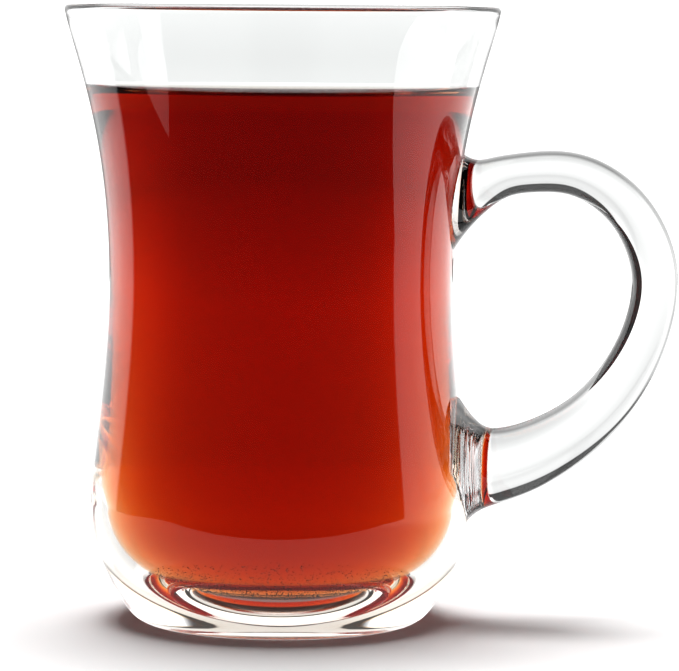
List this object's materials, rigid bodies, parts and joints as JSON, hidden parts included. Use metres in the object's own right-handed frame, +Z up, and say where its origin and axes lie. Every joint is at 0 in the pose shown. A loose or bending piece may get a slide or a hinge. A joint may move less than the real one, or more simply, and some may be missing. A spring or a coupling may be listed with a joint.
{
  "type": "turkish tea glass",
  "caption": "Waisted clear tea glass with a thick base and a fused loop handle, filled with red-brown tea to below its flared rim.",
  "frame": {"origin": "on the table under the middle of the whole, handle included; the glass's own axis stands at x = -12.9 mm", "axes": "+X towards the handle, +Y across the handle, +Z up along the glass's axis"},
  "size_m": [0.088, 0.0622, 0.088],
  "materials": {
    "clear_glass": "clear pressed soda-lime glass, fire-polished",
    "tea": "clear brewed black tea, red-brown"
  },
  "bodies": {
    "root": {"glass": "clear_glass", "tea": "tea"}
  },
  "joints": []
}
